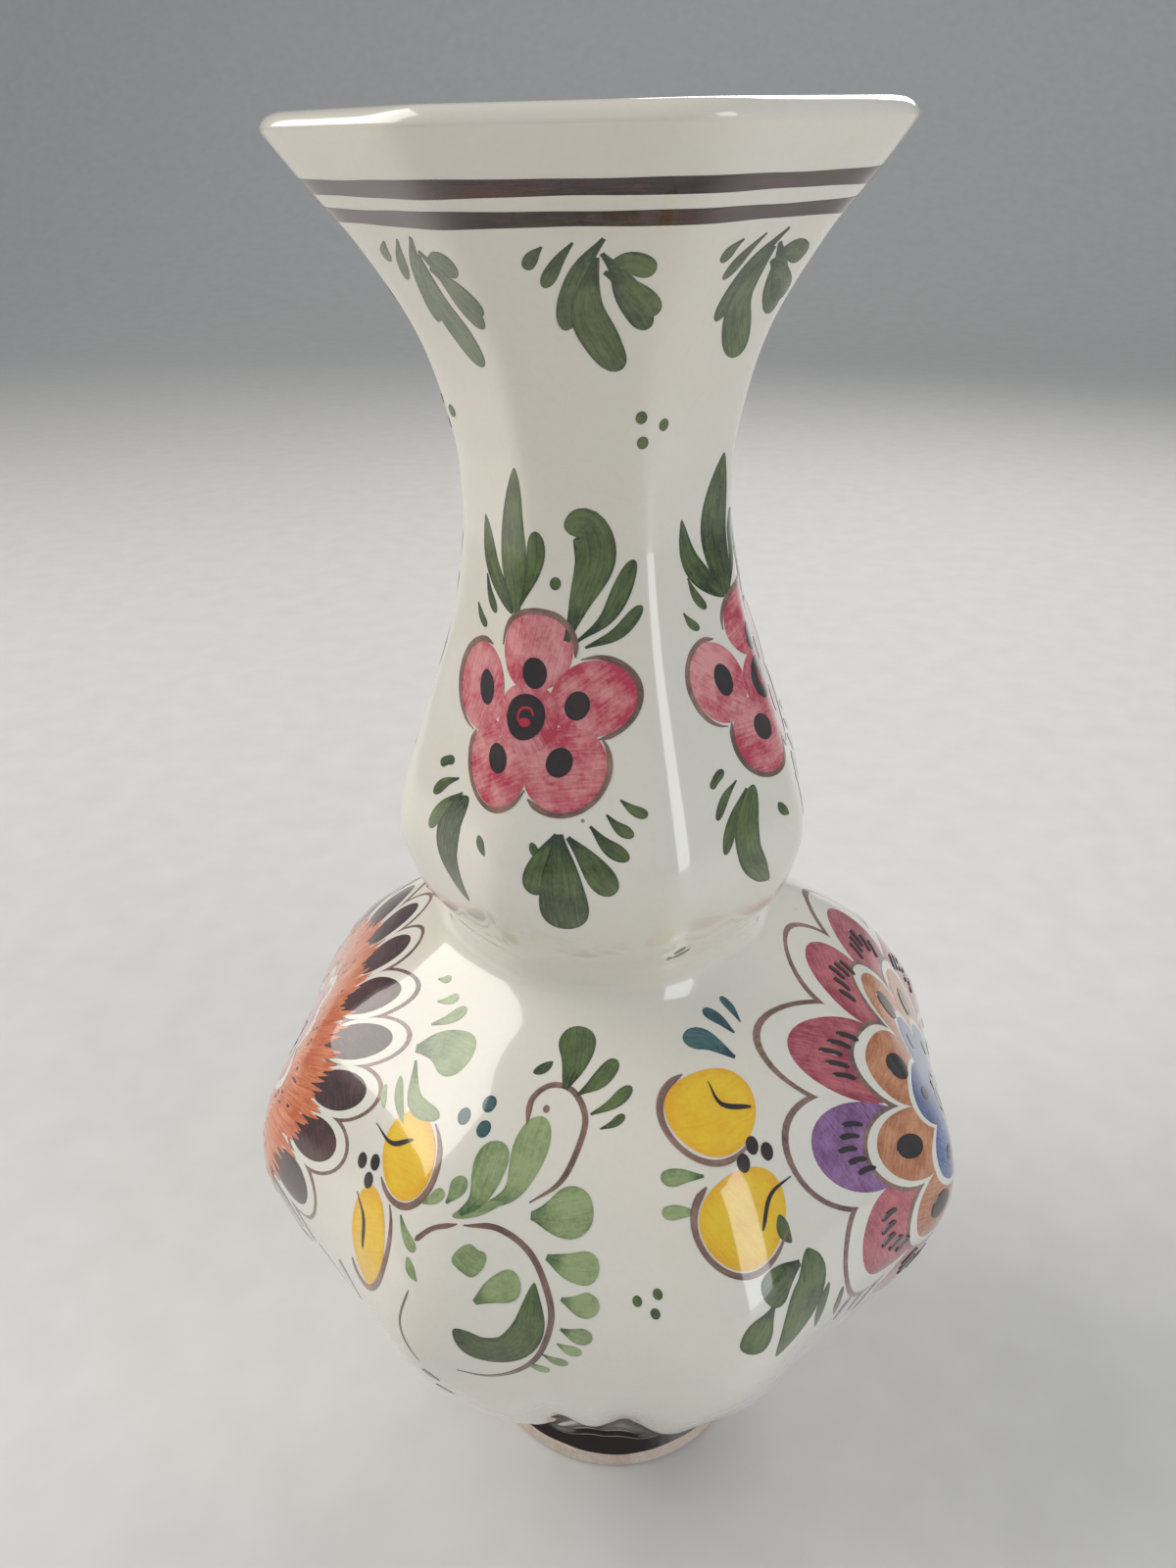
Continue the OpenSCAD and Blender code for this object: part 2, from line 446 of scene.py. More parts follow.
def lip_ring():
    """The wall's last few millimetres, rounded over."""
    edge_z = HEIGHT - LIP_ROUND
    steps = 12
    inner = surface(TURN, LIP_Z, WALL)
    edge = surface(TURN, edge_z)
    up = (LIP_Z, LIP_Z + 1.2, LIP_Z + 2.4, edge_z)
    rings = [surface(TURN, z) for z in up]
    normals = [normal(TURN, z) for z in up]
    out = normal(TURN, edge_z) * [1, 1, 0]
    out = out / np.linalg.norm(out, axis=1, keepdims=True)
    for k in range(1, steps):
        t = math.pi * k / steps
        p = edge + (inner - edge) * (1 - math.cos(t)) / 2
        p[:, 2] = edge[:, 2] + (inner[:, 2] - edge[:, 2]) * k / steps + LIP_ROUND * math.sin(t)
        rings.append(p)
        n = out * math.cos(t) + np.array([0, 0, math.sin(t)])
        normals.append(n / np.linalg.norm(n, axis=1, keepdims=True))
    rings.append(inner)
    normals.append(-normal(TURN, LIP_Z, WALL))
    swept_object("lip_ring", rings, normals, ["lip_ring"])


lip_ring()

# The CAD's own foot ring, floor and luting coils are kept and only coloured
for node_name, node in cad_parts.items():
    if node_name in ("lower_bowl", "shoulder", "waist_collar", "upper_bulb", "neck", "lip_ring"):
        continue
    node.data.materials.clear()
    node.data.materials.append(CLAY if node_name == "foot_ring" else GLAZE)


# ---------------------------------------------------------------- painted strokes
LIFT = 0.05
LEVEL_LIFT = 0.035
CROSSING_LIFT = 0.004
UNDERSIDE = 0.5


class Paint:
    """Strokes of one colour, gathered into one thin skin of colour on the glaze.

    A higher level lies over a lower one.
    """

    def __init__(self, name, material, level=0):
        self.name = name
        self.material = material
        self.lift = LIFT + LEVEL_LIFT * level
        self.points = []
        self.normals = []
        self.brush = []
        self.edge = []
        self.faces = []
        self.count = 0

    def grid(self, a, z, brush, edge, wrap=False):
        """A patch of the surface, given as a rows by columns grid, with a hidden underside."""
        rows, cols = a.shape
        n = normal(a, z).reshape(-1, 3)
        p = surface(a, z).reshape(-1, 3)
        base = self.count
        size = rows * cols
        # Each stroke lies a hair above the last, so that crossing strokes don't fight
        lift = self.lift + CROSSING_LIFT * (len(self.points) // 2 % 8)
        self.points += [p + n * lift, p - n * UNDERSIDE]
        self.normals += [n, n]
        self.brush += [brush.reshape(-1, 3)] * 2
        self.edge += [edge.reshape(-1)] * 2
        self.count += 2 * size

        def at(i, j, under):
            return base + under * size + i * cols + (j % cols)

        last = cols if wrap else cols - 1
        end = rows - 1
        for i in range(end):
            for j in range(last):
                self.faces.append((at(i, j, 0), at(i, j + 1, 0), at(i + 1, j + 1, 0), at(i + 1, j, 0)))
                self.faces.append((at(i, j, 1), at(i + 1, j, 1), at(i + 1, j + 1, 1), at(i, j + 1, 1)))
        for j in range(last):
            self.faces.append((at(0, j + 1, 0), at(0, j, 0), at(0, j, 1), at(0, j + 1, 1)))
            self.faces.append((at(end, j, 0), at(end, j + 1, 0), at(end, j + 1, 1), at(end, j, 1)))
        if not wrap:
            for i in range(end):
                self.faces.append((at(i, 0, 0), at(i + 1, 0, 0), at(i + 1, 0, 1), at(i, 0, 1)))
                self.faces.append(
                    (at(i + 1, last, 0), at(i, last, 0), at(i, last, 1), at(i + 1, last, 1))
                )

    def stroke(self, path, width, kind="drop", tone=None, turn=0.0, flat=None):
        """One brush stroke along (angle, height) points, or along flat (u, v) mm about `flat`."""
        tone = random.uniform(-0.25, 0.35) if tone is None else tone
        turn = math.radians(turn)
        if flat is None:
            a0 = math.radians(path[0][0])
            z0 = path[0][1]
            uv = np.array([unroll(math.radians(a), z, a0, z0) for a, z in path])
        else:
            a0 = math.radians(flat[0])
            z0 = flat[1]
            uv = np.array(path, float)
        uv = smooth(uv, width)
        length = np.concatenate([[0], np.cumsum(np.linalg.norm(np.diff(uv, axis=0), axis=1))])
        t = length / length[-1]
        half = WIDTHS[kind](t) * width / 2
        half *= 1 + 0.06 * np.sin(t * random.uniform(5, 9) + random.uniform(0, 6))
        along = np.gradient(uv, axis=0)
        along /= np.linalg.norm(along, axis=1, keepdims=True)
        side = np.stack([along[:, 1], -along[:, 0]], axis=1)
        cols = 5 if width < 2 else 9 if width < 5 else 15
        across = np.linspace(-1, 1, cols)
        grid = uv[:, None, :] + side[:, None, :] * (half[:, None] * across[None, :])[..., None]
        a, z = roll(grid, a0, z0)
        brush = np.zeros((*a.shape, 3))
        shift = random.uniform(0, 90)
        brush[..., 0] = length[:, None] + shift
        brush[..., 1] = half[:, None] * across[None, :] + shift
        # A drop is darkest where the loaded brush was set down
        loaded = 1.5 * np.clip(1 - t / 0.34, 0, 0.6) if kind == "drop" else 0.2 * (1 - t)
        brush[..., 2] = tone + loaded[:, None]
        ends = np.abs(2 * t - 1)[:, None] ** 6
        edge = np.maximum(np.abs(across)[None, :], ends)
        self.grid(a + turn, z, brush, edge)

    def blob(self, centre, outline, at=(0, 0), tone=None, turn=0.0, spin=0.0):
        """A filled shape about a motif's centre. outline(angle) gives its radius in mm."""
        tone = random.uniform(-0.2, 0.3) if tone is None else tone
        spokes = 48
        phi = np.linspace(0, 2 * math.pi, spokes, endpoint=False)
        radius = np.array([outline(p) for p in phi])
        rows = max(4, round(radius.max() / 0.9))
        f = np.linspace(0.002, 1, rows)[:, None]
        c = np.cos(phi + spin) * radius
        s = np.sin(phi + spin) * radius
        uv = np.stack([at[0] + f * c, at[1] + f * s], axis=-1)
        a, z = roll(uv, math.radians(centre[0]), centre[1])
        brush = np.zeros((*a.shape, 3))
        shift = random.uniform(0, 90)
        lean = random.uniform(0, math.pi)
        brush[..., 0] = c * f * math.cos(lean) + s * f * math.sin(lean) + shift
        brush[..., 1] = s * f * math.cos(lean) - c * f * math.sin(lean) + shift
        brush[..., 2] = tone
        edge = np.repeat(f, spokes, 1)
        self.grid(a[:, ::-1] + math.radians(turn), z[:, ::-1], brush[:, ::-1], edge, True)

    def dot(self, a, z, size, turn):
        """A dot of half width size, a little taller than it is wide."""
        self.blob((a, z), ellipse(size, size * 1.2), turn=turn)

    def done(self):
        """Make the mesh, with the attributes that the painted materials read."""
        points = np.concatenate(self.points)
        normals = np.concatenate(self.normals)
        obj = make_object(self.name, points, self.faces, normals, self.material)
        for key, kind, data in (("brush", "FLOAT_VECTOR", self.brush), ("edge", "FLOAT", self.edge)):
            layer = obj.data.attributes.new(key, kind, "POINT")
            values = np.concatenate(data).astype(np.float32).ravel()
            layer.data.foreach_set("vector" if kind == "FLOAT_VECTOR" else "value", values)


def smooth(points, width):
    """A smooth curve through the points, in short steps."""
    if len(points) == 2:
        middle = (points[0] + points[1]) / 2
        across = np.array([points[1][1] - points[0][1], points[0][0] - points[1][0]])
        points = np.array([points[0], middle + across * 0.07, points[1]])
    padded = np.concatenate([[2 * points[0] - points[1]], points, [2 * points[-1] - points[-2]]])
    out = []
    for i in range(len(points) - 1):
        p0, p1, p2, p3 = padded[i : i + 4]
        steps = max(5, round(np.linalg.norm(p2 - p1) / 0.8))
        for k in range(steps):
            u = k / steps
            square = (2 * p0 - 5 * p1 + 4 * p2 - p3) * u**2
            cube = (3 * p1 - p0 - 3 * p2 + p3) * u**3
            out.append(0.5 * (2 * p1 + (p2 - p0) * u + square + cube))
    out.append(points[-1])
    out = np.array(out)
    length = np.concatenate([[0], np.cumsum(np.linalg.norm(np.diff(out, axis=0), axis=1))])
    count = max(18, round(length[-1] / 0.6))
    at = length[-1] * (1 - np.cos(np.linspace(0, math.pi, count))) / 2
    return np.stack([np.interp(at, length, out[:, 0]), np.interp(at, length, out[:, 1])], axis=1)


def drop(t):
    """A loaded brush set down lightly and pressed: thin start, full round end."""
    swell = 0.16 + 0.84 * np.sin(np.clip(t / 0.78, 0, 1) * math.pi / 2) ** 1.3
    return swell * np.sqrt(np.clip(1 - t**7, 0.002, 1))


def leaf(t):
    """Pointed at both ends, fullest past the middle."""
    return np.clip(np.sin(math.pi * t**0.85), 0, 1) ** 0.75 + 0.03


def line(t):
    """A liner's stroke, with a lift at each end."""
    return np.clip(np.minimum(t * 14, (1 - t) * 5), 0.12, 1) ** 0.6


def dash(t):
    """A short even mark with round ends."""
    return np.sqrt(np.clip(1 - (2 * t - 1) ** 4, 0.02, 1))


WIDTHS = {"drop": drop, "leaf": leaf, "line": line, "dash": dash}


def ellipse(w, h):
    """An ellipse of half width w and half height h."""
    return lambda p: w * h / math.hypot(h * math.cos(p), w * math.sin(p))


def wavy(radius, waves, depth, shift=0.0):
    """A round shape with a waved edge."""
    return lambda p: radius * (1 + depth * math.cos(waves * p + shift))


# ---------------------------------------------------------------- bands and foot
def wander(a, s):
    """The small slips of a brush held against a turning vase."""
    return np.sin(a * 3 + s) * 0.5 + np.sin(a * 7 + 2 * s) * 0.3 + np.sin(a * 19 + s) * 0.1


def band(name, low, high, material, wave=0.25):
    """A painted ring round the vase, its edges wandering a little as a brush does."""
    paint = Paint(name, material)
    a = np.linspace(0, 2 * math.pi, 721)[:-1]
    rows = 7
    f = np.linspace(0, 1, rows)[:, None]
    under = low + wave * wander(a, 1)
    over = high + wave * wander(a, 2.3)
    z = under[None, :] * (1 - f) + over[None, :] * f
    brush = np.zeros((*z.shape, 3))
    brush[..., 0] = a[None, :] * 45
    brush[..., 1] = f * 4 + low
    brush[..., 2] = 0.35 * np.sin(a * 5 + low)[None, :]
    edge = np.repeat(np.abs(2 * f - 1), len(a), 1)
    paint.grid(np.repeat(a[None, :], rows, 0), z, brush, edge, True)
    paint.done()


band("upper_band", 289.2, 291.3, BAND)
band("lower_band", 285.4, 287.4, BAND)
band("foot_line", 16.0, 16.9, DARK, wave=0.15)
band("foot_band", 8.3, 11.0, DARK, wave=0.1)

# ---------------------------------------------------------------- neck and upper gourd
# A motif's strokes are (points, width in mm, kind of stroke), each point (degrees, height in mm).
# They are repeated round the vase on every panel, on every other one, or on the front and back.
QUARTERS = (0, 90, 180, 270)
FRONT_AND_BACK = (0, 180)

leaves = Paint("mouth_leaf_sprays", LEAF)
SPRAY_Z = 275
SPRAY_TALL = 1.18
# This one is laid out flat instead, as (mm across, height in mm)
SPRAY = [
    ([(-4, 283), (-6.5, 280)], 2.2, "drop"),
    ([(0.3, 283.5), (-2, 281), (-4.4, 277.5)], 2.3, "drop"),
    ([(4.6, 284), (0.5, 279), (-2, 271.5)], 3.8, "drop"),
    ([(3.4, 281.5), (1.6, 274.5), (3.6, 269.5), (6, 266)], 6.2, "drop"),
    ([(4.2, 282), (6.4, 279), (9.8, 271.5)], 4.6, "drop"),
    ([(4.4, 279.5), (7.5, 277.5), (11.2, 273.5)], 4.4, "drop"),
    ([(5, 280.5), (8, 280.8), (11.2, 279.5)], 4.2, "drop"),
]
for panel in range(PANELS):
    for path, width, kind in SPRAY:
        points = [(u, (z - SPRAY_Z) * SPRAY_TALL) for u, z in path]
        leaves.stroke(points, width, kind, turn=360 / PANELS * panel, flat=(0, SPRAY_Z))
leaves.done()

dots = Paint("neck_dots", LEAF, 1)
for turn in QUARTERS:
    for a, z in ((19.5, 258), (28, 256.5), (20.5, 254)):
        dots.dot(a, z, 0.85, turn)
    dots.stroke([(24, 163.4), (27, 165)], 1.1, "leaf", turn=turn)
    dots.stroke([(24.5, 161.6), (29, 163.6)], 1.1, "leaf", turn=turn)
    dots.stroke([(22.5, 161.4), (24, 162.2)], 1.0, "leaf", turn=turn)
dots.done()

# The pink flower's centre, then each petal and spot as its place from there and half sizes
FLOWER = (-20, 209)
PETALS = [
    (0.5, 11, 6.4, 6.6),
    (11.2, 3.4, 7.4, 6.6),
    (8, -8.8, 7.2, 7.6),
    (-5, -9.4, 6.6, 7.4),
    (-11, 2.4, 6.2, 7.6),
]
SPOTS = [
    (0.8, 7.6, 2.0, 2.7),
    (8.6, 2.2, 2.2, 2.5),
    (6.8, -7.6, 2.3, 2.6),
    (-4.4, -8.2, 2.1, 2.6),
    (-9.6, 2.6, 2.0, 3.0),
]
petals = Paint("pink_petals", PINK)
outlines = Paint("pink_petal_outlines", LINE, 1)
spots = Paint("pink_flower_spots", DARK, 2)
hearts = Paint("pink_flower_hearts", RED, 3)
for turn in QUARTERS:
    for u, v, w, h in PETALS:
        petals.blob(FLOWER, ellipse(w, h), (u, v), turn=turn, spin=random.uniform(-0.2, 0.2))
        facing = math.atan2(v, u)
        arc = []
        for k in range(13):
            p = facing + (k - 6) * 0.27 + random.uniform(-0.03, 0.03)
            arc.append((u + math.cos(p) * (w + 0.5), v + math.sin(p) * (h + 0.5)))
        outlines.stroke(arc, 1.0, "line", turn=turn, flat=FLOWER)
    for u, v, w, h in SPOTS:
        spots.blob(FLOWER, ellipse(w, h), (u, v), turn=turn, spin=random.uniform(-0.25, 0.25))
    petals.blob(FLOWER, ellipse(5.6, 6.2), (0.2, -0.4), turn=turn)
    spots.blob(FLOWER, ellipse(3.4, 4.0), (0, 0), turn=turn)
    hearts.blob(FLOWER, ellipse(1.0, 0.8), (0.1, -0.9), turn=turn)
    ring = [(0.1 + 1.3 * math.cos(k * 0.5), 0.2 + 1.5 * math.sin(k * 0.5)) for k in range(12)]
    hearts.stroke(ring, 0.45, "dash", turn=turn, flat=FLOWER)
for paint in (petals, outlines, spots, hearts):
    paint.done()

upper = Paint("upper_gourd_leaves", LEAF)
UPPER = [
    ([(-28, 225), (-32, 237), (-28, 249.5)], 6.0, "leaf"),
    ([(-30, 225), (-45, 232), (-50, 240)], 3.8, "leaf"),
    ([(-26, 227), (-21, 233), (-20, 239.5)], 3.2, "drop"),
    ([(-8, 221.5), (-3, 228), (3, 235), (0, 240.5), (-9, 240.5)], 7.0, "drop"),
    ([(-4, 221.5), (8, 226), (18, 235)], 3.3, "drop"),
    ([(-1, 220.5), (11, 223), (20, 227.5)], 2.6, "drop"),
    ([(-8, 190), (-13, 179)], 5.2, "drop"),
    ([(-7.5, 190), (-6.5, 182), (-5, 171.5)], 9.6, "drop"),
    ([(-5, 189.5), (0, 186), (7, 179.5)], 5.4, "drop"),
    ([(1, 191.5), (11, 186)], 3.0, "drop"),
    ([(5.5, 193.5), (12.5, 190)], 2.3, "drop"),
    ([(9.5, 196), (16.5, 193.5)], 2.2, "drop"),
    ([(-37, 192.5), (-42.5, 187), (-43, 181), (-38.5, 175.5), (-34.5, 172.5)], 6.4, "leaf"),
    ([(-40, 192.5), (-52, 183)], 2.8, "drop"),
    ([(-43, 194.5), (-53, 189.5)], 2.2, "drop"),
    ([(-47, 197), (-53, 195)], 1.8, "dash"),
    ([(-48, 230), (-40, 224)], 1.9, "drop"),
    ([(-52, 224.5), (-45, 221)], 1.7, "drop"),
    ([(-14.5, 188.5), (-11.5, 185.5)], 1.5, "leaf"),
    ([(-30, 187.5), (-27, 184.5)], 1.9, "leaf"),
]
for turn in QUARTERS:
    for path, width, kind in UPPER:
        upper.stroke(path, width, kind, turn=turn)
    upper.dot(-12.5, 231, 0.9, turn)
upper.done()

# ---------------------------------------------------------------- lower gourd, front and back
green = Paint("lower_leaves", LEAF)
pale = Paint("lower_pale_leaves", LEAF_LIGHT)
tendrils = Paint("tendrils", LINE)
teal = Paint("blue_green_marks", TEAL)
fruit = Paint("yellow_fruits", YELLOW)
fruit_lines = Paint("fruit_outlines", LINE, 1)
fruit_marks = Paint("fruit_marks", DARK, 2)

GREEN = [
    ([(-5, 141), (-4, 147.5)], 7.4, "drop"),
    ([(-2, 140.5), (7, 144)], 3.8, "drop"),
    ([(1, 138.5), (10, 141.5)], 2.6, "drop"),
    ([(3, 137), (8, 138.6)], 1.7, "drop"),
    ([(-13, 142.3), (-9, 143.5)], 2.0, "leaf"),
    ([(35, 115.5), (34, 109), (27, 100)], 8.6, "leaf"),
    ([(33, 114.5), (26, 112.5)], 7.4, "drop"),
    ([(27, 111), (23, 104)], 7.0, "drop"),
    ([(38, 106.5), (35, 98)], 2.7, "leaf"),
    ([(41, 102.5), (40, 95)], 2.0, "leaf"),
    ([(44, 96), (41, 91)], 1.8, "leaf"),
    ([(48, 93), (45, 89)], 1.6, "leaf"),
    ([(42, 66), (38, 56)], 6.4, "drop"),
    ([(-17, 107), (-13.5, 103), (-9.5, 103.2), (-7, 108), (-6.5, 116)], 6.6, "leaf"),
    ([(-22.5, 92.5), (-20.5, 89)], 1.6, "leaf"),
    ([(-22, 85), (-20, 81.5)], 1.5, "leaf"),
    ([(-42, 100), (-38, 92)], 4.0, "leaf"),
]
PALE = [
    ([(-44, 139), (-38, 141), (-29, 141.5)], 10.0, "drop"),
    ([(-45, 142), (-39, 145.5)], 3.0, "drop"),
    ([(-49, 144), (-44, 146)], 2.3, "drop"),
    ([(-55, 145.8), (-51, 147)], 1.9, "drop"),
    ([(-42, 138), (-36, 134.5), (-29, 135)], 3.8, "drop"),
    ([(-43, 135.5), (-36, 131.5)], 2.2, "leaf"),
    ([(-45, 133.5), (-42, 131)], 1.5, "leaf"),
    ([(-19, 125.5), (-16.5, 128.5), (-16, 135)], 6.4, "drop"),
    ([(-15.5, 126.8), (-11, 130), (-9, 138)], 6.6, "drop"),
    ([(-20, 125), (-15, 127), (-12.5, 127.6)], 2.4, "leaf"),
    ([(-21.5, 126.5), (-20, 130.5)], 3.2, "drop"),
    ([(-25.5, 125), (-22.5, 128)], 2.4, "drop"),
    ([(-8, 126), (-4, 126.2), (2, 127.5)], 10.0, "drop"),
    ([(-5, 120), (3, 118.6)], 6.6, "drop"),
    ([(-2.5, 113.6), (3, 112.8)], 5.0, "drop"),
    ([(-2.5, 108), (2, 106.4)], 3.6, "drop"),
    ([(-3, 104.8), (0.5, 102.8)], 2.5, "drop"),
    ([(-5, 102), (-1.5, 99.6)], 2.1, "drop"),
    ([(-7, 99.5), (-4.2, 97)], 2.3, "drop"),
    ([(-18, 120.4), (-14, 118)], 4.8, "dash"),
    ([(-14.5, 112.5), (-12, 114.5), (-8.5, 116)], 6.6, "drop"),
    ([(-29, 121), (-24.5, 118)], 2.4, "drop"),
    ([(-25.5, 116.6), (-23, 114)], 1.7, "leaf"),
    ([(20.5, 132), (13.5, 131.6)], 3.1, "drop"),
    ([(18.5, 127.6), (13, 127.2)], 2.8, "drop"),
    ([(-52, 92), (-46, 84)], 4.0, "leaf"),
    ([(-57, 96), (-54, 90)], 2.2, "leaf"),
    ([(58, 60), (52, 52)], 4.5, "leaf"),
]
LOOP = [
    (-11.5, 137),
    (-11.6, 139.8),
    (-8, 141.3),
    (-3, 140.8),
    (0, 138),
    (-1.5, 134),
    (-4, 130.5),
    (-8.5, 127.8),
]
CURL = [
    (-18, 124),
    (-13, 124),
    (-8, 121),
    (-5, 116),
    (-3.8, 110),
    (-5.5, 102),
    (-9, 96.5),
    (-13, 94.4),
    (-17, 96),
]
TENDRILS = [
    (LOOP, 1.1),
    (CURL, 1.1),
    ([(-25, 119.5), (-22.5, 122.5), (-19, 124)], 0.9),
    ([(-24, 112), (-25, 104), (-22.5, 96)], 0.4),
]
TEAL_MARKS = [
    ([(36, 141.8), (31, 144.5), (25, 145.5)], 4.4, "drop"),
    ([(39.5, 143.8), (34, 147.6)], 2.6, "drop"),
    ([(43, 144.4), (41.5, 148)], 1.9, "drop"),
]
BERRIES = [(-41.5, 122.2), (-38.4, 123.8), (-38.4, 120.6), (28, 131.8), (30.8, 133), (33.2, 131.4)]
for side in FRONT_AND_BACK:
    for path, width, kind in GREEN:
        green.stroke(path, width, kind, turn=side)
    for path, width, kind in PALE:
        pale.stroke(path, width, kind, turn=side)
    for path, width in TENDRILS:
        tendrils.stroke(path, width, "line", turn=side)
    for path, width, kind in TEAL_MARKS:
        teal.stroke(path, width, kind, turn=side)
    tendrils.dot(-8.3, 138.8, 0.6, side)
    for a, z in ((-24, 136.6), (-20, 138.6), (-19.3, 136)):
        teal.dot(a, z, 1.25, side)
    for a, z in ((8.4, 114.2), (11.3, 115.6), (10.8, 112.4)):
        green.dot(a, z, 0.85, side)
    for a, z in BERRIES:
        fruit_marks.dot(a, z, 1.3, side)
    green.stroke([(31.5, 123), (32.5, 118)], 2.6, "leaf", turn=side)

# Each fruit: centre, half width, half height, lean, and which way its outline is set off
FRUITS = [
    ((-32, 128.6), 7.0, 7.6, 0.1, -0.5),
    ((-34.5, 113), 5.6, 9.2, 0.35, -0.6),
    ((26, 138), 9.0, 7.4, -0.2, 3.6),
    ((26, 125), 8.8, 8.2, 0.0, 3.9),
]
STEMS = [
    [(-42, 128.6), (-36.5, 128.2), (-32, 131)],
    [(-40, 117.5), (-36.5, 115), (-35, 110.5)],
    [(27, 141), (28, 138.4), (34, 136.6)],
    [(36, 126.6), (31, 126.2), (28, 122.4)],
]
for side in FRONT_AND_BACK:
    for centre, w, h, lean, offset in FRUITS:
        fruit.blob(centre, ellipse(w, h), tone=-0.1, turn=side, spin=lean)
        arc = []
        for k in range(15):
            p = offset + (k - 7) * 0.24
            arc.append(((w + 0.9) * math.cos(p), (h + 0.9) * math.sin(p)))
        fruit_lines.stroke(arc, 1.15, "line", turn=side, flat=centre)
    for path in STEMS:
        fruit_marks.stroke(path, 0.95, "drop", turn=side)
for paint in (green, pale, tendrils, teal, fruit, fruit_lines, fruit_marks):
    paint.done()


# ---------------------------------------------------------------- the two large flowers
def ring_of(count, radius, start=0.0, tall=1.0):
    """Places round a flower: (angle, u, v)."""
    for k in range(count):
        p = start + k * 2 * math.pi / count
        yield p, radius * math.cos(p), radius * math.sin(p) * tall


def petal_shape(w, h):
    """A petal: an egg that is wider towards its outer end."""
    oval = ellipse(w, h)
    return lambda p: oval(p) * (1 + 0.10 * math.cos(p))


FLOWER_TALL = 0.98

RIGHT = (78, 113)
r_outline = Paint("right_flower_outline", LINE)
r_white = Paint("right_flower_reserve", WHITE, 1)
r_crimson = Paint("right_flower_crimson_petals", CRIMSON, 2)
r_purple = Paint("right_flower_purple_petals", PURPLE, 2)
r_inner_line = Paint("right_flower_inner_outline", LINE, 3)
r_inner_white = Paint("right_flower_inner_reserve", WHITE, 4)
r_peach = Paint("right_flower_peach_petals", PEACH, 5)
r_blue_white = Paint("right_flower_blue_reserve", WHITE, 6)
r_blue = Paint("right_flower_blue_petals", BLUE, 7)
r_green = Paint("right_flower_green_heart", LEAF, 8)
r_dark = Paint("right_flower_marks", DARK, 9)
for k, (p, u, v) in enumerate(ring_of(10, 33, 0.25, FLOWER_TALL)):
    r_outline.blob(RIGHT, petal_shape(15.2, 13.2), (u, v), spin=p)
    r_white.blob(RIGHT, petal_shape(14.1, 12.1), (u, v), spin=p)
    inner = r_purple if k % 5 == 4 else r_crimson
    inner.blob(RIGHT, petal_shape(12.0, 9.6), (u * 0.93, v * 0.93), spin=p)
    for m in range(5):
        q = p + (m - 2) * 0.075
        base = 34 - abs(m - 2) * 1.3
        ends = [(r * math.cos(q), r * math.sin(q) * FLOWER_TALL) for r in (base, base + 4.4)]
        r_dark.stroke(ends, 1.1, "dash", flat=RIGHT)
for paint in (r_outline, r_white, r_crimson, r_purple):
    paint.done()
for p, u, v in ring_of(8, 21, 0.5, FLOWER_TALL):
    r_inner_line.blob(RIGHT, petal_shape(10.8, 9.4), (u, v), spin=p)
    r_inner_white.blob(RIGHT, petal_shape(9.9, 8.5), (u, v), spin=p)
    r_peach.blob(RIGHT, petal_shape(9.0, 7.6), (u * 0.94, v * 0.94), spin=p)
    r_dark.blob(RIGHT, ellipse(3.2, 2.6), (u * 1.05, v * 1.05), spin=p)
for p, u, v in ring_of(6, 11, 0.2):
    r_blue_white.blob(RIGHT, petal_shape(7.6, 6.8), (u, v), spin=p)
    r_blue.blob(RIGHT, petal_shape(6.9, 6.1), (u * 0.94, v * 0.94), spin=p)
    r_dark.blob(RIGHT, ellipse(1.6, 1.3), (u * 1.15, v * 1.15), spin=p)
r_green.blob(RIGHT, wavy(4.4, 5, 0.12))
r_dark.blob(RIGHT, wavy(1.9, 4, 0.15))
for paint in (r_inner_line, r_inner_white, r_peach, r_blue_white, r_blue, r_green, r_dark):
    paint.done()

LEFT = (-83, 115)
l_outline = Paint("left_flower_outline", LINE)
l_white = Paint("left_flower_reserve", WHITE, 1)
l_plum = Paint("left_flower_dark_petals", PLUM, 2)
l_orange = Paint("left_flower_sunburst", ORANGE, 3)
l_specks = Paint("left_flower_specks", DARK, 4)
l_inner_white = Paint("left_flower_inner_reserve", WHITE, 5)
l_pink = Paint("left_flower_pink_petals", PINK, 6)
l_heart = Paint("left_flower_heart", DARK, 7)
for p, u, v in ring_of(18, 35.5, 0.1, FLOWER_TALL):
    l_outline.blob(LEFT, petal_shape(9.6, 7.0), (u, v), spin=p)
    l_white.blob(LEFT, petal_shape(8.8, 6.2), (u, v), spin=p)
    l_plum.blob(LEFT, petal_shape(7.2, 4.7), (u * 0.97, v * 0.97), spin=p)
l_orange.blob(LEFT, wavy(27.5, 18, 0.03, -1.8), tone=-0.1)
HAIRS = 150
for k in range(HAIRS):
    p = k * 2 * math.pi / HAIRS + random.uniform(-0.02, 0.02)
    outer = 29.5 + random.uniform(0, 3.6) - 1.6 * math.cos(18 * p - 1.8)
    hairs = [(r * math.cos(p), r * math.sin(p) * 0.97) for r in (20, (20 + outer) / 2, outer)]
    l_orange.stroke(hairs, 1.9, "leaf", flat=LEFT)
for _ in range(46):
    p = random.uniform(0, 2 * math.pi)
    r = random.gauss(21, 2.4)
    l_specks.blob(LEFT, ellipse(0.5, 0.35), (r * math.cos(p), r * math.sin(p)), spin=p)
for p, u, v in ring_of(9, 11.5, 0.3):
    l_inner_white.blob(LEFT, petal_shape(6.4, 4.9), (u, v), spin=p)
    l_pink.blob(LEFT, petal_shape(5.1, 3.7), (u * 0.9, v * 0.9), spin=p)
l_heart.blob(LEFT, wavy(4.4, 7, 0.08))
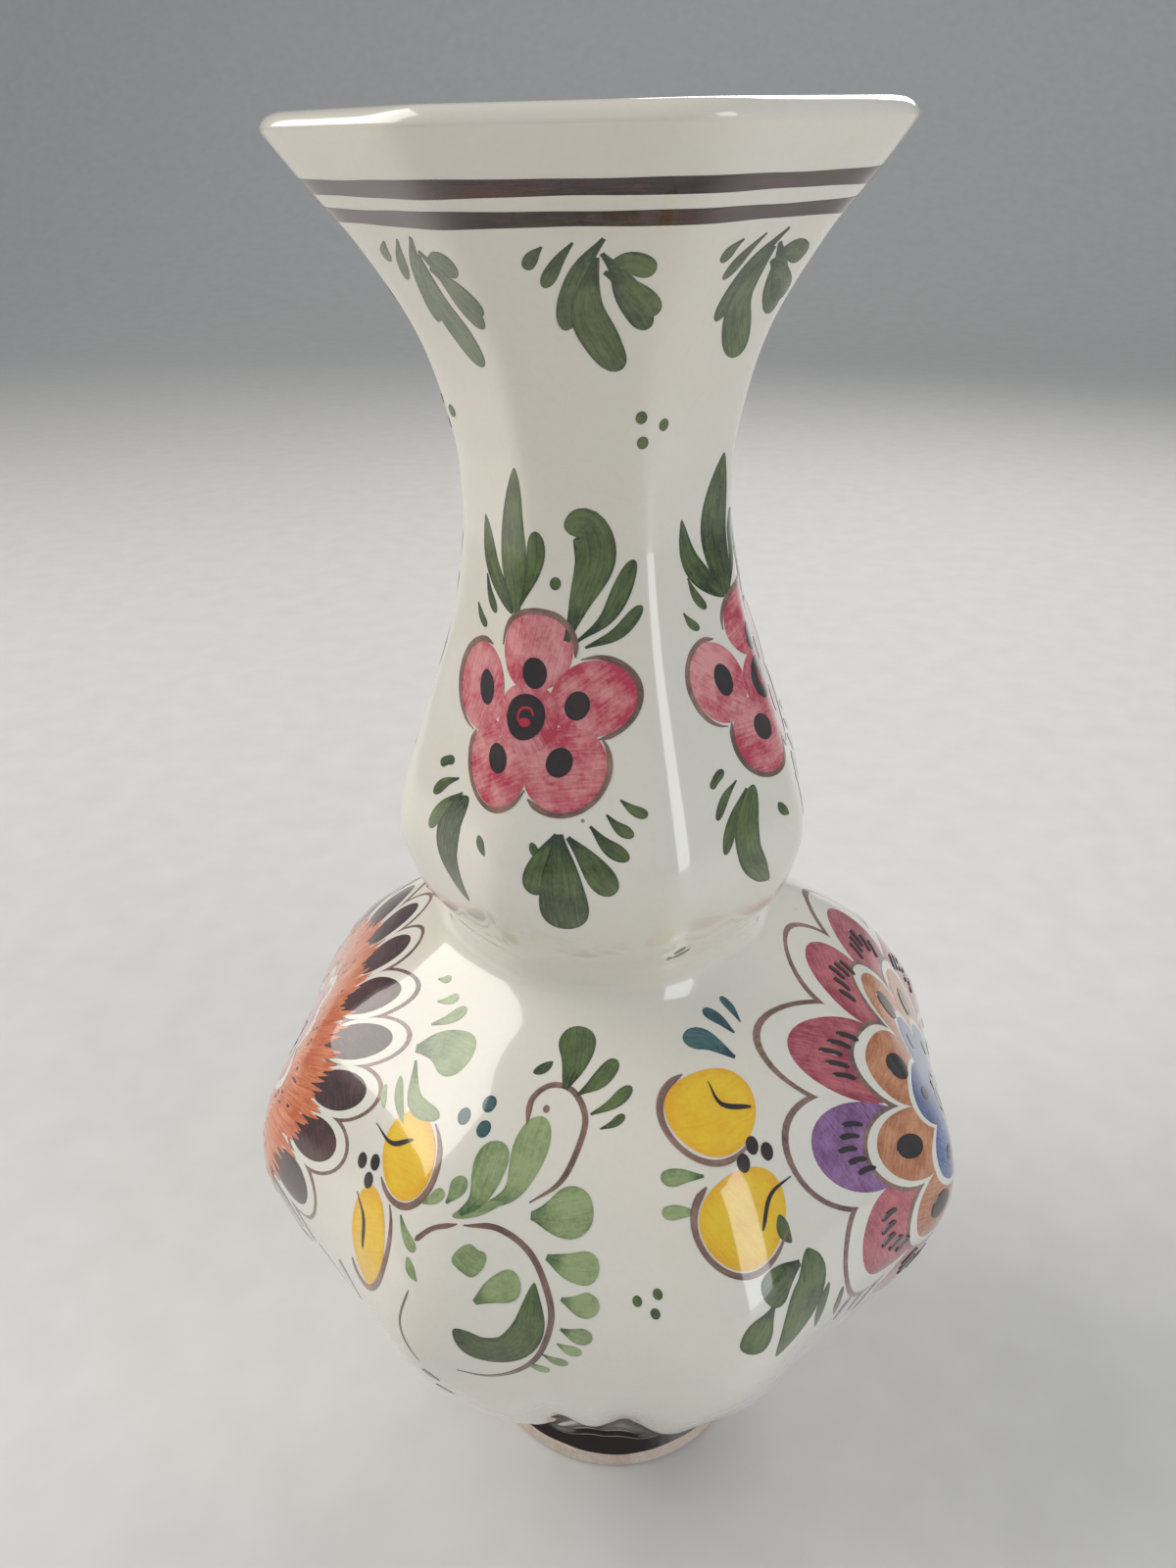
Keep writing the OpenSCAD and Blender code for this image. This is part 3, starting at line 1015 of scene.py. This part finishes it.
for paint in (l_outline, l_white, l_plum, l_orange, l_specks, l_inner_white, l_pink, l_heart):
    paint.done()


# ---------------------------------------------------------------- floor, light and camera
def floor_material():
    """Pale matt paper, very slightly uneven."""
    m, t = new_material("pale floor")
    where = add(t, "TexCoord").outputs["Object"]
    grain = noise(t, where, 60.0, 4.0)
    colour = ramp(t, grain, [(0.3, (0.66, 0.65, 0.63)), (0.7, (0.70, 0.69, 0.67))])
    shader = add(t, "BsdfPrincipled", Base_Color=colour, Roughness=0.55)
    out = add(t, "OutputMaterial")
    t.links.new(shader.outputs[0], out.inputs[0])
    return m


def sweep_floor():
    """A pale floor that curves up into a backdrop far behind the vase."""
    flat_to = 1.6
    bend = 1.2
    half_width = 5
    steps = 24
    profile = [(-4.0, 0.0), (0.0, 0.0), (flat_to, 0.0)]
    for k in range(1, steps + 1):
        t = math.pi / 2 * k / steps
        profile.append((flat_to + bend * math.sin(t), bend * (1 - math.cos(t))))
    profile.append((flat_to + bend, 4.0))
    points = [(x, y, z) for y, z in profile for x in (-half_width, half_width)]
    faces = [(2 * k, 2 * k + 1, 2 * k + 3, 2 * k + 2) for k in range(len(profile) - 1)]
    mesh = bpy.data.meshes.new("floor")
    mesh.from_pydata(points, [], faces)
    mesh.shade_smooth()
    mesh.materials.append(floor_material())
    obj = bpy.data.objects.new("floor", mesh)
    bpy.context.scene.collection.objects.link(obj)


sweep_floor()


def area_light(name, place_at, target, size, power, colour):
    """A soft box aimed at a point of the vase."""
    data = bpy.data.lights.new(name, "AREA")
    data.shape = "RECTANGLE"
    data.size = size[0]
    data.size_y = size[1]
    data.energy = power
    data.color = colour
    obj = bpy.data.objects.new(name, data)
    bpy.context.scene.collection.objects.link(obj)
    obj.location = place_at
    obj.rotation_euler = (Vector(target) - Vector(place_at)).to_track_quat("-Z", "Y").to_euler()


area_light("key", (-1.05, 0.05, 1.0), (0, 0, 0.14), (1.1, 1.2), 13, (1.0, 0.96, 0.90))
area_light("fill", (0.95, -0.65, 0.45), (0, 0, 0.14), (0.5, 0.9), 4, (0.92, 0.96, 1.0))
area_light("back", (0.35, 0.95, 0.80), (0, 0, 0.18), (0.8, 0.5), 5, (1.0, 0.98, 0.95))

world = bpy.data.worlds.new("studio")
bpy.context.scene.world = world
world.use_nodes = True
background = world.node_tree.nodes["Background"]
background.inputs[0].default_value = (0.80, 0.84, 0.90, 1)
background.inputs[1].default_value = 0.42

# The camera looks down at the vase from about its own height, close by. SWING turns it round
# the vase, and PITCH, ROLL and YAW turn it where it stands.
DISTANCE = 0.210
CAMERA_Z = 0.297
SWING = math.radians(5)
PITCH = math.radians(29.2)
ROLL = math.radians(-1.45)
YAW = math.radians(-0.9)
forward = Vector((math.sin(YAW) * math.cos(PITCH), math.cos(YAW) * math.cos(PITCH), -math.sin(PITCH)))
level = Vector((math.cos(YAW), -math.sin(YAW), 0))
upward = level.cross(forward)
right = level * math.cos(ROLL) + upward * math.sin(ROLL)
top = upward * math.cos(ROLL) - level * math.sin(ROLL)
swing = Matrix.Rotation(SWING, 3, "Z")
axes = Matrix((swing @ right, swing @ top, swing @ -forward)).transposed().to_4x4()
camera_data = bpy.data.cameras.new("camera")
camera_data.lens = 27
camera_data.sensor_width = 36
camera_data.clip_start = 0.01
camera = bpy.data.objects.new("camera", camera_data)
bpy.context.scene.collection.objects.link(camera)
at = swing @ Vector((0, -DISTANCE, CAMERA_Z))
camera.matrix_world = Matrix.Translation(at) @ axes
bpy.context.scene.camera = camera
bpy.context.scene.view_settings.view_transform = "Standard"
